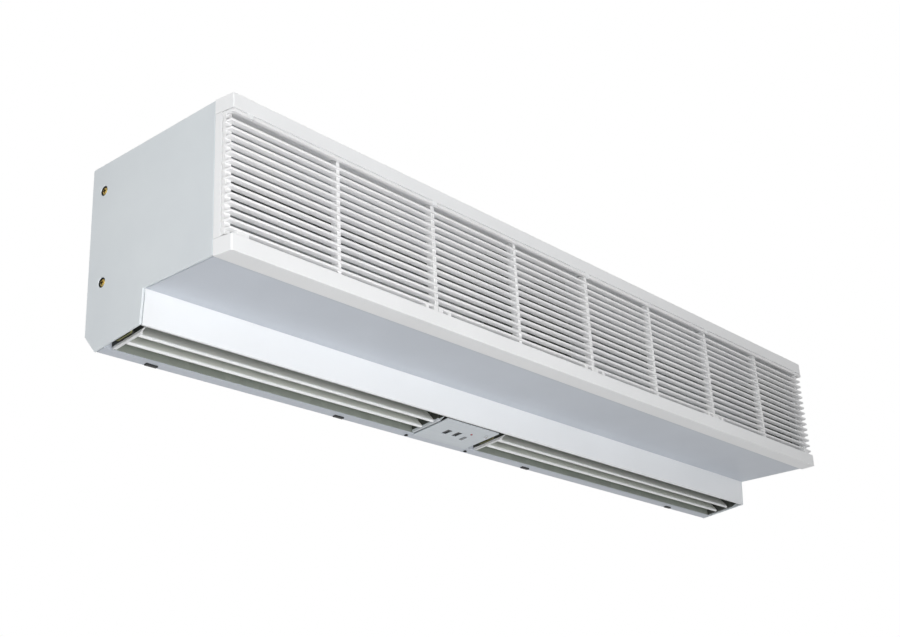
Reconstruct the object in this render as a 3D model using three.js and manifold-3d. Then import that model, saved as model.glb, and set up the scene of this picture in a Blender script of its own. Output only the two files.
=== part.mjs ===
// Wall-hung air curtain with a cross-flow fan: louvred intake at the front, vaned slot outlet below.
// Millimetres. X runs along the unit, -Y faces the room, +Z is up.
// The pieces are drawn from the unit's lowest rear edge, and the whole is then lowered so that
// the origin is the middle of the face that lies on the wall.
import * as THREE from 'three';
import { mergeVertices } from 'three/addons/utils/BufferGeometryUtils.js';
import Module from 'manifold-3d';

const wasm = await Module();
wasm.setup();

// ---------- driving dimensions ----------
const LENGTH = 1200;
const HEIGHT = 215;
const CASE_DEPTH = 204; // the plain box, without the front frame
const FRONT_DEPTH = 228.3; // out to the faces of the louvres
const FLOOR_Z = 46; // underside of the deep upper box
const GAP = 0.3; // between pieces that touch
const SHEET = 1.5; // folded steel
const COVER = 3; // end covers
const PLATE_MID_Z = 120; // height of the origin above the lowest edge

// outlet: a sloping plane from the rear sill to the front lip
const SILL_Y = -18;
const SILL_FRONT_Y = -31.5; // where the sill's sheet turns up into the duct
const REAR_CHAMFER_Z = 21;
const LIP_Y = -94;
const LIP_Z = 8.5;
const THROAT_TOP_Y = -97;
const SLOPE = LIP_Z / (SILL_Y - LIP_Y);
const outletZ = (y) => (SILL_Y - y) * SLOPE;
const outletTilt = -Math.atan(SLOPE);

// front frame
const RAIL_TOP_H = 16.3;
const RAIL_LOW = [44.6, 62.4];
const RAIL_WALL = 2.5;
const END_DRAFT = 2.6; // how far the frame's ends lean in, from the case to the front

// louvre panels
const PANELS = 4;
const PANEL_W = 300;
const LOUVRES = 14;
const PITCH = 9;
const FIRST_LOUVRE_Z = 69.1;
const LOUVRE_H = 3.1;
const LOUVRE_DEPTH = 10;
const PANEL_REAR_Y = -214.2;
const HINGE_Y = -226.1;
const HINGE_Z = 196;
const HINGE_BAR = [-2.4, 2.2]; // the panel's top bar, below and above the hinge axis
const HINGE_EASE = 1.2; // its top front edge is cut back, to turn under the rail
const LUG_ROOM = 3.4; // from the hinge axis to the panel's material behind a lug

// fan
const AXIS_Y = -112;
const AXIS_Z = 128;
const WHEEL_R = 52;
const BLADES = 16;
const SHAFT_R = 6;

// ducts, from end wall to end wall, with the motor bay between them
const LEFT_DUCT = [-588, -134.3];
const RIGHT_DUCT = [-15, 590];
const BAR = 4; // thickness of the end walls where they carry the vanes
const DUCT_WALL_Y = SILL_FRONT_Y - 1.9; // the scroll's end, lapped over the sill's upturned lip

// vanes
const VANE_TILT = THREE.MathUtils.degToRad(35); // lower edge forward, as photographed
const VANE_CHORD = 24;
const VANE_NOSE_R = 2.6;
const VANE_TAIL_R = 0.8;
const VANE_NOSES_Y = { front: -69.5, rear: -49.5 };
const PIVOT_UP = 11; // pivot above the nose, along the vane
const PIN_R = 1.5;
const CRANK = 8;

// control box, at the outlet
const PANEL_X = -81.2;
const PANEL_Y = -59.2;
const PANEL_SIZE = [101, 60];

// ---------- helpers ----------
const unit = new THREE.Group();
unit.position.z = -PLATE_MID_Z;

const paint = (color, roughness, metalness = 0) =>
  new THREE.MeshStandardMaterial({ color, roughness, metalness });
const finish = {
  white: () => paint('#f4f5f6', 0.45),
  pale: () => paint('#d3dade', 0.5),
  grey: () => paint('#c3c8d2', 0.5),
  steel: () => paint('#b9bcbe', 0.35, 0.9),
  brass: () => paint('#c9ad5a', 0.35, 0.9),
  black: () => paint('#1d1f21', 0.6),
  dark: () => paint('#4b4e49', 0.6),
  silver: () => paint('#c9ced3', 0.35, 0.6),
  alloy: () => paint('#a9aea8', 0.45, 0.5),
  fan: () => paint('#8f969a', 0.45, 0.6),
  red: () => paint('#b3202a', 0.3),
};

function add(name, geometry, material, parent = unit) {
  const mesh = new THREE.Mesh(geometry, material);
  mesh.name = name;
  parent.add(mesh);
  return mesh;
}

function toSolid(geometry) {
  const bare = geometry.clone();
  for (const attribute of ['normal', 'uv']) bare.deleteAttribute(attribute);
  const merged = mergeVertices(bare, 1e-4);
  return new wasm.Manifold(
    new wasm.Mesh({
      numProp: 3,
      vertProperties: new Float32Array(merged.attributes.position.array),
      triVerts: new Uint32Array(merged.index.array),
    }),
  );
}

function toGeometry(solid) {
  const mesh = solid.getMesh();
  const geometry = new THREE.BufferGeometry();
  geometry.setAttribute('position', new THREE.BufferAttribute(mesh.vertProperties, 3));
  geometry.setIndex(new THREE.BufferAttribute(mesh.triVerts, 1));
  geometry.computeVertexNormals();
  return geometry;
}

const join = (...pieces) => toGeometry(pieces.map(toSolid).reduce((a, b) => a.add(b)));
const cut = (piece, ...tools) =>
  toGeometry(tools.map(toSolid).reduce((a, b) => a.subtract(b), toSolid(piece)));
const mirrored = (geometry) => toGeometry(toSolid(geometry).mirror([1, 0, 0]));

function box([x0, x1], [y0, y1], [z0, z1]) {
  const geometry = new THREE.BoxGeometry(x1 - x0, y1 - y0, z1 - z0);
  return geometry.translate((x0 + x1) / 2, (y0 + y1) / 2, (z0 + z1) / 2);
}

const outline = (points) => new THREE.Shape(points.map(([a, b]) => new THREE.Vector2(a, b)));
const prism = (shape, depth, options = {}) =>
  new THREE.ExtrudeGeometry(shape, { depth, bevelEnabled: false, curveSegments: 6, ...options });

// A shape drawn in Y and Z, run along X.
function alongX(shape, [x0, x1], options) {
  const turn = new THREE.Matrix4().makeBasis(
    new THREE.Vector3(0, 1, 0),
    new THREE.Vector3(0, 0, 1),
    new THREE.Vector3(1, 0, 0),
  );
  return prism(shape, x1 - x0, options).applyMatrix4(turn).translate(x0, 0, 0);
}

// A shape drawn in X and Y, run up Z.
const alongZ = (shape, [z0, z1], options) => prism(shape, z1 - z0, options).translate(0, 0, z0);

// A profile of [radius, x] points turned about an axis that is parallel to X.
function turned(profile, y, z, segments = 20) {
  const points = profile.map(([r, x]) => new THREE.Vector2(r, x));
  const lathe = new THREE.LatheGeometry(points, segments);
  const solid = toSolid(lathe.rotateZ(-Math.PI / 2));
  return toGeometry(solid).translate(0, y, z);
}

const rod = (radius, [x0, x1], y, z, segments = 12) =>
  new THREE.CylinderGeometry(radius, radius, x1 - x0, segments)
    .rotateZ(Math.PI / 2)
    .translate((x0 + x1) / 2, y, z);

// The outline of a folded sheet: the path of one face, with the sheet's thickness to its left.
function folded(path, thickness = SHEET) {
  const at = path.map(([y, z]) => new THREE.Vector2(y, z));
  const left = (a, b) => {
    const d = b.clone().sub(a).normalize();
    return new THREE.Vector2(-d.y, d.x);
  };
  const back = at.map((p, i) => {
    const before = i > 0 ? left(at[i - 1], p) : left(p, at[i + 1]);
    const after = i < at.length - 1 ? left(p, at[i + 1]) : before;
    const mitre = before.clone().add(after).divideScalar(1 + before.dot(after));
    return p.clone().add(mitre.multiplyScalar(thickness));
  });
  return new THREE.Shape([...at, ...back.reverse()]);
}

const half = LENGTH / 2;
const inner = half - COVER - GAP; // how far the long pieces reach inside the covers
const inside = [-inner, inner];
const frameX = (y) => half - (END_DRAFT * (-CASE_DEPTH - y)) / (FRONT_DEPTH - CASE_DEPTH);

// ---------- wall plate and rear panel ----------
const REAR_Y = -3.5;
const HOOK_X = [-270, -90, 90, 270];
const HOOK_W = 26;
const CABLE_X = -75;
const CABLE_Z = 186;
const CLIP_X = [-532, -257, 107, 479];
const CLIP_W = 15;
const SILL_SCREW_X = { left: -138.6, right: -23.4 };
const SILL_SCREW_Y = -24;

function wallPlate() {
  const size = [700, 100];
  const low = PLATE_MID_Z - size[1] / 2;
  const holes = [-320, -180, 180, 320].flatMap((x) => [low + 16, low + size[1] - 16].map((z) => [x, z]));
  const plate = box([-size[0] / 2, size[0] / 2], [-2, 0], [low, low + size[1]]);
  const bores = holes.map(([x, z]) =>
    new THREE.CylinderGeometry(4.5, 4.5, 6, 8).translate(x, -1, z),
  );
  const hooks = HOOK_X.map((x) =>
    alongX(folded([[-1, 146], [-9, 146], [-9, 158]], -2), [x - HOOK_W / 2, x + HOOK_W / 2]),
  );
  return join(cut(plate, ...bores), ...hooks);
}

function rearPanel() {
  const sheet = alongX(
    folded([
      [-20, HEIGHT - SHEET - GAP],
      [REAR_Y, HEIGHT - SHEET - GAP],
      [REAR_Y, REAR_CHAMFER_Z + 2],
      [SILL_Y - 1.2, outletZ(SILL_Y - 1.2) + 0.1],
      [SILL_FRONT_Y, outletZ(SILL_FRONT_Y) + 0.1],
      [SILL_FRONT_Y + 1.2, 12],
    ].reverse()),
    inside,
  );
  const slots = HOOK_X.map((x) => box([x - HOOK_W / 2 - 2, x + HOOK_W / 2 + 2], [-8, 0], [140, 160]));
  const cable = new THREE.CylinderGeometry(12.2, 12.2, 8, 12).translate(CABLE_X, -4, CABLE_Z);
  const clips = CLIP_X.map((x) =>
    box([x - CLIP_W / 2 - GAP, x + CLIP_W / 2 + GAP], [-25.3, -20.2], [-2, 4]));
  const notch = box([PANEL_X - 51, PANEL_X + 51], [-40, -28.6], [-5, 15]); // for the control box
  const bores = Object.values(SILL_SCREW_X).map((x) =>
    new THREE.CylinderGeometry(1.9, 1.9, 8, 8).rotateX(Math.PI / 2).translate(x, SILL_SCREW_Y, 2));
  return cut(sheet, cable, notch, ...slots, ...clips, ...bores);
}

function sillClip(x) {
  const stem = box([x - CLIP_W / 2, x + CLIP_W / 2], [-25, -20.5], [-0.9, 4]);
  return join(stem, box([x - CLIP_W / 2 - 2.5, x + CLIP_W / 2 + 2.5], [-27, -20.5], [3, 4.5]));
}

function sillScrew(x) {
  const top = outletZ(SILL_SCREW_Y) - 0.4;
  const profile = [[0, top - 0.9], [1.8, top - 0.7], [2.7, top], [1.5, top], [1.5, top + 7], [0, top + 7]];
  const lathe = new THREE.LatheGeometry(profile.map(([r, z]) => new THREE.Vector2(r, z)), 8);
  return toGeometry(toSolid(lathe.rotateX(Math.PI / 2))).translate(x, SILL_SCREW_Y, 0);
}

// ---------- sheet-metal box ----------
const topPanel = () =>
  alongX(
    folded([[-1, HEIGHT], [-CASE_DEPTH + GAP, HEIGHT], [-CASE_DEPTH + GAP, HEIGHT - 15]]),
    inside,
  );

const boxFloor = () =>
  alongX(
    folded([
      [THROAT_TOP_Y - 0.5, FLOOR_Z + 14],
      [THROAT_TOP_Y - 0.5, FLOOR_Z],
      [-CASE_DEPTH + GAP, FLOOR_Z],
      [-CASE_DEPTH + GAP, FLOOR_Z + 15],
    ].reverse()),
    inside,
  );

const throatFront = () =>
  alongX(
    folded([
      [LIP_Y + 3.4, LIP_Z + 2.2],
      [LIP_Y + 2.6, LIP_Z],
      [LIP_Y, LIP_Z],
      [THROAT_TOP_Y, FLOOR_Z],
      [THROAT_TOP_Y, FLOOR_Z + 14],
    ], -SHEET),
    inside,
  );

function endCover(side) {
  const shape = outline([
    [0, REAR_CHAMFER_Z],
    [0, HEIGHT],
    [-CASE_DEPTH, HEIGHT],
    [-CASE_DEPTH, FLOOR_Z],
    [THROAT_TOP_Y, FLOOR_Z],
    [LIP_Y, LIP_Z],
    [SILL_Y, 0],
  ]);
  for (const [y, z] of SCREWS) {
    const hole = new THREE.Path();
    hole.absarc(y, z, SCREW_HEAD_R + 0.6, 0, 2 * Math.PI, true);
    shape.holes.push(hole);
  }
  const edge = 0.8;
  const x0 = side < 0 ? -half : half - COVER;
  const plate = alongX(shape, [x0 + edge, x0 + COVER - edge], {
    bevelEnabled: true,
    bevelThickness: edge,
    bevelSize: edge,
    bevelOffset: -edge,
    bevelSegments: 1,
  });
  return toGeometry(toSolid(plate));
}

// Screw heads sit in the cover's two round holes, on the end wall behind it.
const SCREWS = [[-20.5, 183], [-24.8, 75]];
const SCREW_HEAD_R = 5;

function endScrew(side, [y, z]) {
  const head = half - COVER + 1.6;
  const seat = half - COVER - 0.6;
  const profile = [[0, 590.4], [2, 590.4], [2, seat], [SCREW_HEAD_R, seat],
    [SCREW_HEAD_R, head - 1], [SCREW_HEAD_R - 1.6, head], [0, head]];
  const recess = [[0.6, 2.8], [2.8, 0.6]].map(([w, h]) => box([head - 1.2, head + 1], [-w, w], [-h, h]));
  const screw = cut(turned(profile, 0, 0, 8), ...recess);
  return (side < 0 ? mirrored(screw) : screw).translate(0, y, z);
}

// ---------- front frame ----------
// Plan of a piece that follows the frame's leaning ends, with the front corners rounded.
function framePlan(rearY, inset = 0) {
  const front = -FRONT_DEPTH + inset;
  const corner = 2.5;
  const x = frameX(front) - inset;
  const shape = new THREE.Shape();
  shape.moveTo(-frameX(rearY) + inset, rearY);
  shape.lineTo(-x, front + corner);
  shape.quadraticCurveTo(-x, front, -x + corner, front);
  shape.lineTo(x - corner, front);
  shape.quadraticCurveTo(x, front, x, front + corner);
  shape.lineTo(frameX(rearY) - inset, rearY);
  shape.closePath();
  return shape;
}

const HINGE_LUGS = [
  { x: -575, pins: [-1, 1] },
  { x: -300, pins: [-1, 1] },
  { x: 0, pins: [-1, 1] },
  { x: 300, pins: [-1, 1] },
  { x: 575, pins: [-1, 1] },
];
const LUG_W = 8;
const PIN_OUT = 3.4;

function rail([z0, z1]) {
  const body = alongZ(framePlan(-CASE_DEPTH), [z0, z1], { curveSegments: 3 });
  const hollow = alongZ(framePlan(-CASE_DEPTH + 1, RAIL_WALL), [z0 + RAIL_WALL, z1 - RAIL_WALL], {
    curveSegments: 1,
  });
  return cut(body, hollow);
}

function topRail() {
  const low = HEIGHT - RAIL_TOP_H;
  const lugs = HINGE_LUGS.flatMap(({ x, pins }) => [
    box([x - LUG_W / 2, x + LUG_W / 2], [HINGE_Y - 1.6, HINGE_Y + 2.2], [HINGE_Z - 1.9, low + 1]),
    ...pins.map((side) =>
      rod(1, side < 0 ? [x - LUG_W / 2 - PIN_OUT, x] : [x, x + LUG_W / 2 + PIN_OUT], HINGE_Y, HINGE_Z, 6)),
  ]);
  return join(rail([low, HEIGHT]), ...lugs);
}

function endPost(side) {
  const [rear, front] = [-CASE_DEPTH, PANEL_REAR_Y + 0.6];
  const plan = outline([
    [frameX(rear), rear],
    [frameX(front), front],
    [frameX(front) - 12, front],
    [frameX(front) - 12, front + 2.5],
    [frameX(rear) - 2.5, front + 2.5],
    [frameX(rear) - 2.5, rear],
  ]);
  const post = alongZ(plan, [RAIL_LOW[1] + GAP, HEIGHT - RAIL_TOP_H - GAP]);
  return side < 0 ? mirrored(post) : post;
}

// ---------- louvre panels ----------
// Plan of one louvre, drawn for the right-hand end panel and mirrored for the left.
function louvrePlan([x0, x1], wraps, rearY) {
  if (!wraps) return outline([[x0, -FRONT_DEPTH], [x1, -FRONT_DEPTH], [x1, rearY], [x0, rearY]]);
  const xf = frameX(-FRONT_DEPTH);
  const xr = frameX(PANEL_REAR_Y);
  return outline([
    [x0, -FRONT_DEPTH],
    [xf - 1.5, -FRONT_DEPTH],
    [xf - 0.1, -FRONT_DEPTH + 1.6],
    [xr, PANEL_REAR_Y],
    [xr - 9, PANEL_REAR_Y],
    [xf - 9, rearY],
    [x0, rearY],
  ]);
}

function louvrePanel(number) {
  const wraps = number === 1 || number === PANELS;
  const place = number === 1 ? PANELS : number;
  const x0 = -half + (place - 1) * PANEL_W + GAP;
  const x1 = wraps ? frameX(-FRONT_DEPTH) : x0 + PANEL_W - 2 * GAP;
  const rib = 2.6;
  const low = RAIL_LOW[1] + 1.4;
  const high = HINGE_Z + HINGE_BAR[1];
  const rearY = -FRONT_DEPTH + LOUVRE_DEPTH;
  const upright = (x, width) => box([x, x + width], [-FRONT_DEPTH + 0.6, PANEL_REAR_Y], [low, high]);
  const pieces = [upright(x0, rib), upright(x0 + PANEL_W / 2 - rib / 2, rib)];
  if (wraps) {
    const xr = frameX(PANEL_REAR_Y);
    pieces.push(box([xr - 9, xr - 0.3], [PANEL_REAR_Y - 6, PANEL_REAR_Y], [low, high]));
  } else {
    pieces.push(upright(x1 - rib, rib));
  }
  for (let i = 0; i < LOUVRES; i++) {
    const z = FIRST_LOUVRE_Z + i * PITCH - LOUVRE_H / 2;
    pieces.push(alongZ(louvrePlan([x0, x1], wraps, rearY), [z, z + LOUVRE_H]));
  }
  // top bar, on the hinge pins, and the release tabs with a finger notch beside each
  pieces.push(alongZ(louvrePlan([x0, x1], wraps, rearY), [HINGE_Z + HINGE_BAR[0], high]));
  const tab = (a, b) => box([a, b], [-FRONT_DEPTH + 0.4, rearY], [low, FIRST_LOUVRE_Z]);
  pieces.push(tab(x0, x0 + 6.7), tab(x0 + 15.7, x0 + 21));
  if (wraps) pieces.push(tab(x1 - 24, x1 - 9.3));
  else pieces.push(tab(x1 - 6.7, x1), tab(x1 - 21, x1 - 15.7));
  const lugs = HINGE_LUGS.map(({ x }) =>
    box([x - LUG_W / 2 - 0.4, x + LUG_W / 2 + 0.4], [-FRONT_DEPTH - 1, HINGE_Y + LUG_ROOM],
      [HINGE_Z - 2.5, high + 1]));
  const bores = HINGE_LUGS.map(({ x }) =>
    rod(1.25, [x - LUG_W / 2 - 4.2, x + LUG_W / 2 + 4.2], HINGE_Y, HINGE_Z, 8));
  const ease = alongX(outline([
    [-FRONT_DEPTH - 1, high - HINGE_EASE - 1],
    [-FRONT_DEPTH + HINGE_EASE + 1, high + 1],
    [-FRONT_DEPTH - 1, high + 1],
  ]), [-half, half]);
  const panel = cut(join(...pieces), ease, ...lugs, ...bores);
  return number === 1 ? mirrored(panel) : panel;
}

// ---------- air duct ----------
function ductEnd(barX, plateX, lead) {
  const rearY = SILL_FRONT_Y - 1;
  const barRearY = DUCT_WALL_Y - 0.6;
  const rim = outline([
    [-7, 26],
    [-7, 205],
    [-200, 205],
    [-200, 49],
    [-101.5, 49],
    [-101.5, 62],
    [-95, 62],
    [-94.6, 40],
    [-91, 13],
    [-78, outletZ(-78)],
    [rearY, outletZ(rearY)],
    [rearY + 4, 26],
  ]);
  const bar = outline([
    [-78, outletZ(-78)],
    [-78, 31],
    [barRearY, 31],
    [barRearY, outletZ(barRearY)],
  ]);
  const bore = rod(lead, [plateX[0] - 1, plateX[1] + 1], AXIS_Y, AXIS_Z, 12);
  const pins = Object.values(VANE_NOSES_Y).map((y) => {
    const [py, pz] = pivot(y);
    return rod(PIN_R + 0.3, [barX[0] - 1, barX[1] + 1], py, pz, 8);
  });
  return cut(join(alongX(rim, plateX), alongX(bar, barX)), bore, ...pins);
}

// A spiral wall behind the wheel, opening evenly, then straight down to the sill.
function scroll([x0, x1]) {
  const [start, end, steps] = [-25, 100, 12];
  const path = [];
  for (let i = 0; i <= steps; i++) {
    const angle = THREE.MathUtils.degToRad(start + ((end - start) * i) / steps);
    const radius = WHEEL_R + 6 + (18 * i) / steps;
    path.push([AXIS_Y + radius * Math.sin(angle), AXIS_Z + radius * Math.cos(angle)]);
  }
  path.push([DUCT_WALL_Y - 0.4, 60], [DUCT_WALL_Y, outletZ(DUCT_WALL_Y) + 0.6]);
  return alongX(folded(path), [x0, x1]);
}

const tongue = ([x0, x1]) =>
  alongX(folded([[-94.9, 48], [-94.9, 61], [-99, 68], [-107, 71]], -SHEET), [x0, x1]);

// ---------- vanes ----------
function pivot(noseY) {
  const noseZ = outletZ(noseY) + VANE_NOSE_R + 0.2;
  return [noseY + PIVOT_UP * Math.sin(VANE_TILT), noseZ + PIVOT_UP * Math.cos(VANE_TILT)];
}

// A drop-shaped blade, upright with its pivot at the drop's origin, leaned by the tilt.
function vane([x0, x1], noseY, pinLeft, pinRight) {
  const shape = new THREE.Shape();
  const tail = VANE_CHORD - PIVOT_UP;
  shape.absarc(0, -PIVOT_UP, VANE_NOSE_R, Math.PI, 2 * Math.PI, false);
  shape.lineTo(VANE_TAIL_R, tail - VANE_TAIL_R);
  shape.absarc(0, tail - VANE_TAIL_R, VANE_TAIL_R, 0, Math.PI, false);
  shape.closePath();
  const blade = alongX(shape, [x0, x1], { curveSegments: 3 });
  const pins = [rod(PIN_R, [x0 - pinLeft, x0 + 2], 0, 0, 8), rod(PIN_R, [x1 - 2, x1 + pinRight], 0, 0, 8)];
  const [y, z] = pivot(noseY);
  return join(blade, ...pins).rotateX(-VANE_TILT).translate(0, y, z);
}

// The lever on a vane's pin, and the link that makes both vanes of a side turn together.
function lever(x1, noseY) {
  const [y, z] = pivot(noseY);
  const arm = new THREE.Shape();
  arm.absarc(0, 0, 4, 0, Math.PI, false);
  arm.absarc(0, -CRANK, 2.8, Math.PI, 2 * Math.PI, false);
  arm.closePath();
  const plate = alongX(arm, [x1 - 2.4, x1], { curveSegments: 3 });
  const bore = rod(PIN_R + GAP, [x1 - 3, x1 + 1], 0, 0, 8);
  const pin = rod(PIN_R, [x1 - 5.2, x1 - 2], 0, -CRANK, 8);
  return join(cut(plate, bore), pin).rotateX(-VANE_TILT).translate(0, y, z);
}

function link(x1) {
  const ends = Object.values(VANE_NOSES_Y).map((noseY) => {
    const [y, z] = pivot(noseY);
    return [y - CRANK * Math.sin(VANE_TILT), z - CRANK * Math.cos(VANE_TILT)];
  });
  const [[ya, za], [yb, zb]] = ends;
  const bar = new THREE.Shape();
  const lean = Math.atan2(zb - za, yb - ya);
  bar.absarc(ya, za, 3.2, lean + Math.PI / 2, lean + 1.5 * Math.PI, false);
  bar.absarc(yb, zb, 3.2, lean - Math.PI / 2, lean + Math.PI / 2, false);
  bar.closePath();
  const bores = ends.map(([y, z]) => rod(PIN_R + 0.4, [x1 - 3, x1 + 1], y, z, 8));
  return cut(alongX(bar, [x1 - 2, x1], { curveSegments: 3 }), ...bores);
}

// ---------- fan ----------
// A drum of curved blades between rings, driven by a disc with a boss at the motor's end.
function wheel([x0, x1], motorSide, rings) {
  const [rootR, tipR, blade] = [40, WHEEL_R - 1.4, 1.4];
  const curve = (t, across) => {
    const r = rootR + (tipR - rootR) * t;
    const angle = 0.3 * t * t + across / r;
    return [r * Math.cos(angle), r * Math.sin(angle)];
  };
  const steps = [0, 0.5, 1];
  const section = outline([
    ...steps.map((t) => curve(t, -blade / 2)),
    ...steps.toReversed().map((t) => curve(t, blade / 2)),
  ]);
  const ring = 2.2;
  const pieces = [];
  for (let i = 0; i < BLADES; i++) {
    pieces.push(alongX(section, [x0 + 1, x1 - 1]).rotateX((2 * Math.PI * i) / BLADES));
  }
  for (let i = 1; i <= rings; i++) {
    const x = x0 + ((x1 - x0 - ring) * i) / (rings + 1);
    pieces.push(turned([[rootR - 2, x], [WHEEL_R, x], [WHEEL_R, x + ring], [rootR - 2, x + ring],
      [rootR - 2, x]], 0, 0, BLADES));
  }
  // the driven disc with its boss, and the closed disc with a stub shaft at the far end
  const [driven, far] = motorSide > 0 ? [x1, x0] : [x0, x1];
  const s = motorSide;
  const span = (a, b) => [Math.min(a, b), Math.max(a, b)];
  pieces.push(rod(WHEEL_R, span(driven, driven - s * ring), 0, 0, BLADES));
  pieces.push(rod(15, span(driven - s, driven - s * 24), 0, 0, 12));
  pieces.push(rod(WHEEL_R, span(far, far + s * ring), 0, 0, BLADES));
  pieces.push(rod(4, span(far - s * 8.4, far + s), 0, 0, 10));
  const bore = rod(SHAFT_R + 0.5, span(driven + s, driven - s * 18), 0, 0, 12);
  return cut(join(...pieces), bore).translate(0, AXIS_Y, AXIS_Z);
}

const bearing = (x) =>
  turned([[4.3, x - 4], [9, x - 4], [12.5, x - 1.2], [9.6, x - 1.2], [9.6, x + 1.2], [12.5, x + 1.2],
    [9, x + 4], [4.3, x + 4], [4.3, x - 4]], AXIS_Y, AXIS_Z, 10);

const MOTOR_X = [-120, -30];

function motor() {
  const [a, b] = MOTOR_X;
  const bore = SHAFT_R + GAP;
  return turned([
    [bore, a - 6], [17, a - 6], [17, a + 2], [34, a + 5], [43, a + 13], [43, a + 20],
    [46, a + 20], [46, b - 20], [43, b - 20], [43, b - 13], [34, b - 5], [17, b - 2],
    [17, b + 6], [bore, b + 6], [bore, a - 6],
  ], AXIS_Y, AXIS_Z, 14);
}

const motorShaft = () => rod(SHAFT_R, [-155, 5], AXIS_Y, AXIS_Z);

// A folded cradle that stands on the box floor and holds the motor by its two hubs.
function motorCradle() {
  const foot = FLOOR_Z + SHEET + GAP;
  const [a, b] = MOTOR_X;
  const upright = new THREE.Shape();
  upright.moveTo(AXIS_Y - 48, foot);
  upright.lineTo(AXIS_Y + 9.5, foot);
  upright.lineTo(AXIS_Y + 9.5, foot + 20);
  upright.lineTo(AXIS_Y + 24, foot + 46);
  upright.lineTo(AXIS_Y + 24, AXIS_Z);
  upright.absarc(AXIS_Y, AXIS_Z, 24, 0, Math.PI, false);
  upright.closePath();
  const hub = new THREE.Path();
  hub.absarc(AXIS_Y, AXIS_Z, 18, 0, 2 * Math.PI, true);
  upright.holes.push(hub);
  const sides = [[a - 5, a - 3], [b + 3, b + 5]].map((span) => alongX(upright, span));
  const base = box([a - 5, b + 5], [AXIS_Y - 48, AXIS_Y + 9.5], [foot, foot + 2]);
  return join(base, ...sides);
}

// ---------- motor bay ----------
const capacitor = () =>
  turned([[0, -108], [16, -108], [17.5, -106.5], [17.5, -52], [16, -50.5], [6, -50.5], [6, -47], [0, -47]],
    -32, 150, 10);

function terminalBlock() {
  const block = box([-112, -52], [-24, -5.3], [70, 90]);
  const bays = [-104, -90, -76, -62].map((x) => box([x - 4, x + 4], [-26, -15], [74, 86]));
  return cut(block, ...bays);
}

function cableGrommet() {
  const profile = [[8.5, -8], [13, -8], [14, -5.4], [11.6, -5.4], [11.6, -3.1],
    [14, -3.1], [13.2, -2.6], [8.5, -2.6], [8.5, -8]];
  const points = profile.map(([r, y]) => new THREE.Vector2(r, y));
  return toGeometry(toSolid(new THREE.LatheGeometry(points, 10))).translate(CABLE_X, 0, CABLE_Z);
}

// ---------- control box ----------
// Drawn flat with its face at z = 0, then tilted with the outlet.
const controls = new THREE.Group();
controls.position.set(PANEL_X, PANEL_Y, outletZ(PANEL_Y) - 0.6);
controls.rotation.x = outletTilt;
const ROCKERS = { power: [-17.7, 1.3], speed: [0.7, 0.5] };
const ROCKER_SIZE = [8, 12];
const ROCKER_TIP = THREE.MathUtils.degToRad(8);
const PLATE_T = 1.6;

function rockerHole(x, y, margin, [z0, z1]) {
  const [w, d] = ROCKER_SIZE;
  return box([x - w / 2 - margin, x + w / 2 + margin], [y - d / 2 - margin, y + d / 2 + margin], [z0, z1]);
}

function controlBox() {
  const [w, d] = PANEL_SIZE;
  const wall = 2;
  const bottom = PLATE_T + GAP;
  const shell = box([-w / 2, w / 2], [-d / 2, d / 2], [bottom, 34]);
  const room = box([-w / 2 + wall, w / 2 - wall], [-d / 2 + wall, d / 2 - wall], [bottom + wall, 40]);
  const holes = Object.values(ROCKERS).map(([x, y]) => rockerHole(x, y, 1, [0, 6]));
  const screw = new THREE.CylinderGeometry(2, 2, 8, 10).rotateX(Math.PI / 2).translate(42.2, -14.2, 3);
  return cut(shell, room, ...holes, screw);
}

function controlPlate() {
  const [w, d] = PANEL_SIZE;
  const plate = box([-w / 2, w / 2], [-d / 2, d / 2], [0, PLATE_T]);
  const holes = Object.values(ROCKERS).map(([x, y]) => rockerHole(x, y, 0.7, [-1, 3]));
  const round = [[42.2, -14.2, 2.1], [18.6, -9.6, 1.8]].map(([x, y, r]) =>
    new THREE.CylinderGeometry(r, r, 6, 12).rotateX(Math.PI / 2).translate(x, y, 0));
  const window = box([15.7, 21.3], [-0.3, 10.3], [-1, 3]);
  return cut(plate, window, ...holes, ...round);
}

// A rocker with two sloping halves, tipped to one side about its pivot.
function rocker([x, y]) {
  const [w, d] = ROCKER_SIZE;
  const rise = (d / 2) * Math.tan(ROCKER_TIP);
  const shape = outline([
    [-d / 2, -rise - 1.4], [0, -1.4], [d / 2, -rise - 1.4], [d / 2, 3], [2.5, 7], [-2.5, 7], [-d / 2, 3],
  ]);
  return alongX(shape, [-w / 2, w / 2]).rotateX(ROCKER_TIP).translate(x, y, 3);
}

function pilotLamp() {
  const bulb = new THREE.LatheGeometry(
    [[0, -0.9], [0.9, -0.6], [1.5, 0.2], [1.5, PLATE_T], [0, PLATE_T]]
      .map(([r, z]) => new THREE.Vector2(r, z)), 10);
  return toGeometry(toSolid(bulb.rotateX(Math.PI / 2))).translate(18.6, -9.6, 0);
}

const receiverWindow = () => box([16, 21], [0, 10], [-0.5, PLATE_T]);

function plateScrew() {
  const head = new THREE.LatheGeometry(
    [[0, -1.3], [2.1, -1.1], [3, -0.35], [3, -0.3], [1.7, -0.3], [1.7, 9], [0, 9]]
      .map(([r, z]) => new THREE.Vector2(r, z)), 10);
  return toGeometry(toSolid(head.rotateX(Math.PI / 2))).translate(42.2, -14.2, 0);
}

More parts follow.
